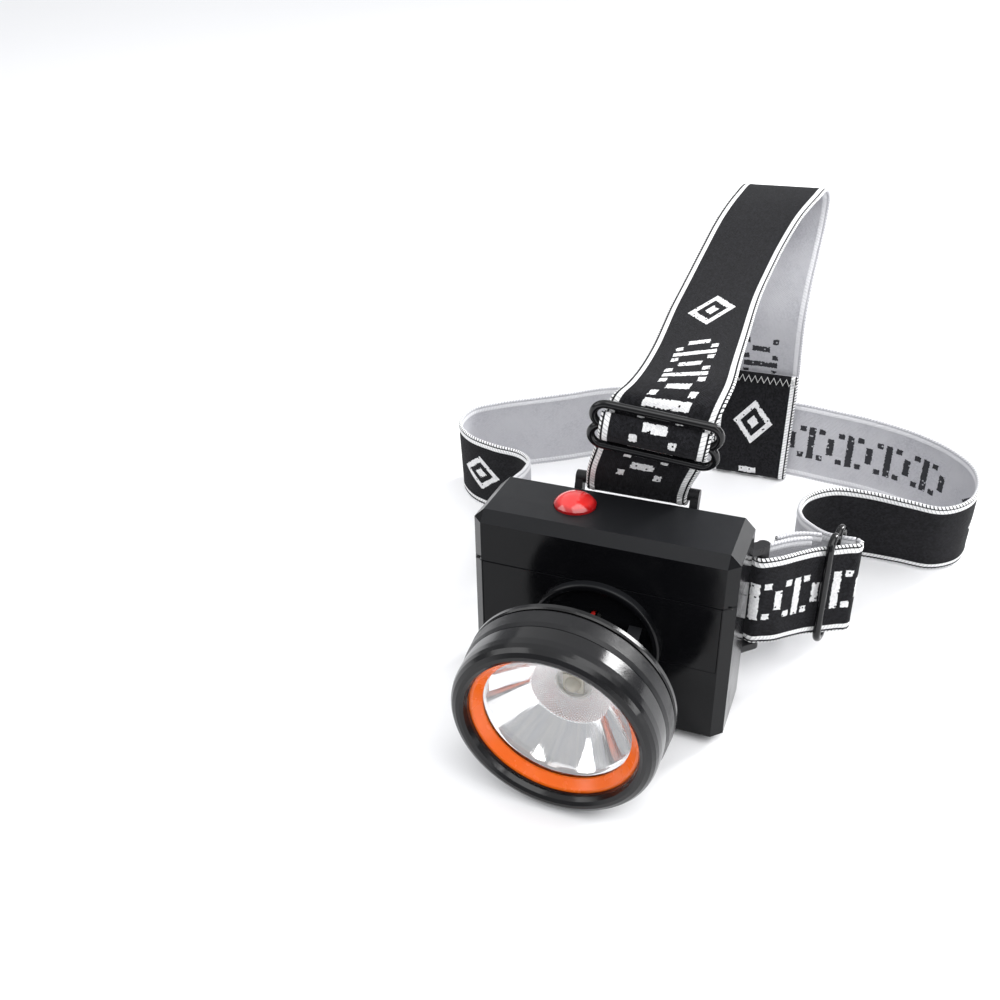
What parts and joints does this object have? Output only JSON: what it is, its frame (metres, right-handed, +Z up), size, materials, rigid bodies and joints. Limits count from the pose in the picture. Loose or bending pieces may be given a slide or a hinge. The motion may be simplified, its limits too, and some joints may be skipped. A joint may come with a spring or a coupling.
{
  "type": "cap lamp",
  "caption": "Miner's cap lamp: round tilting LED head with a silver reflector on a flat black battery box, a push button on top, and a buckled webbing harness with a crown strap.",
  "frame": {"origin": "middle of the footprint, on the table the lamp lies on", "axes": "+X to the right seen from in front of the lens, +Y from the lens back to the rear of the harness, +Z up off the table"},
  "size_m": [0.1604, 0.1836, 0.0929],
  "materials": {
    "case_black": "gloss black moulding, satin top",
    "seal_black": "soft rubber",
    "bracket_black": "satin black moulding",
    "black_screw": "blackened steel",
    "nickel": "nickel strip",
    "board_green": "solder-masked circuit board",
    "chip_black": "moulded chip bodies",
    "screw_steel": "bright steel",
    "switch_grey": "satin",
    "spacer_white": "white",
    "button_red": "translucent red, glossy",
    "jack_black": "satin",
    "pin_brass": "bright",
    "washer_steel": "spring steel",
    "cell_sleeve": "shrink sleeve over a metal can",
    "lead_red": "soft sleeve",
    "lead_black": "soft sleeve",
    "head_black": "gloss black moulding",
    "accent_orange": "glossy orange",
    "lens_clear": "clear window",
    "reflector_silver": "vacuum-metallised, mirror bright",
    "band_black": "satin, finely speckled",
    "led_yellow": "clear dome over phosphor",
    "board_white": "white-masked metal-core board",
    "sink_aluminium": "machined",
    "webbing": "woven black with white lines and light grey inner face",
    "thread_white": "sewing thread",
    "buckle_black": "gloss black wire"
  },
  "bodies": {
    "housing": {"upper_case": "case_black", "lower_case": "case_black", "case_seal": "seal_black", "lamp_mount_plate": "case_black", "strap_bracket": "bracket_black", "bracket_screws": "black_screw", "cell_tab_joined": "nickel", "cell_tabs_output": "nickel", "driver_board": "board_green", "board_parts": "chip_black", "board_screws": "screw_steel", "switch_body": "switch_grey", "charge_jack": "jack_black", "charge_pin": "pin_brass", "tilt_screw": "black_screw", "tilt_nut": "black_screw", "friction_washers": "washer_steel", "battery_cell_lower": "cell_sleeve", "battery_cell_upper": "cell_sleeve", "battery_lead_red": "lead_red", "battery_lead_black": "lead_black", "lamp_lead_red": "lead_red", "lamp_lead_black": "lead_black", "headband": "webbing", "headband_tail": "webbing", "headband_doubling": "webbing", "top_strap": "webbing", "patch_stitches": "thread_white", "side_glide": "buckle_black"},
    "power_button": {"button_cap": "button_red", "switch_plunger": "spacer_white"},
    "lamp_head": {"bezel_ring": "head_black", "accent_ring": "accent_orange", "lens_seal": "seal_black", "lens": "lens_clear", "reflector": "reflector_silver", "head_body": "band_black", "head_rear_shell": "head_black", "head_screws": "black_screw", "led_spacer": "spacer_white", "led_emitter": "led_yellow", "led_board": "board_white", "led_board_screws": "screw_steel", "heat_sink": "sink_aluminium", "head_lead_red": "lead_red", "head_lead_black": "lead_black"},
    "top_slide_buckle": {"top_glide": "buckle_black", "top_glide_webbing": "webbing"}
  },
  "joints": [
    {"name": "lamp_tilt", "type": "hinge", "parent": "housing", "child": "lamp_head", "pos_m": [-0.00475, -0.06331, 0.02493], "axis": [1, 0, 0], "range_deg": [-20, 30]},
    {"name": "button_press", "type": "slide", "parent": "housing", "child": "power_button", "axis": [0, -0.0977, -0.9952], "range_m": [0, 0.0012], "stiffness_N_per_m": 600, "springref_m": -0.0008},
    {"name": "top_buckle_slide", "type": "slide", "parent": "housing", "child": "top_slide_buckle", "axis": [0.1948, -0.1169, 0.9739], "range_m": [-0.006, 0.004]}
  ]
}
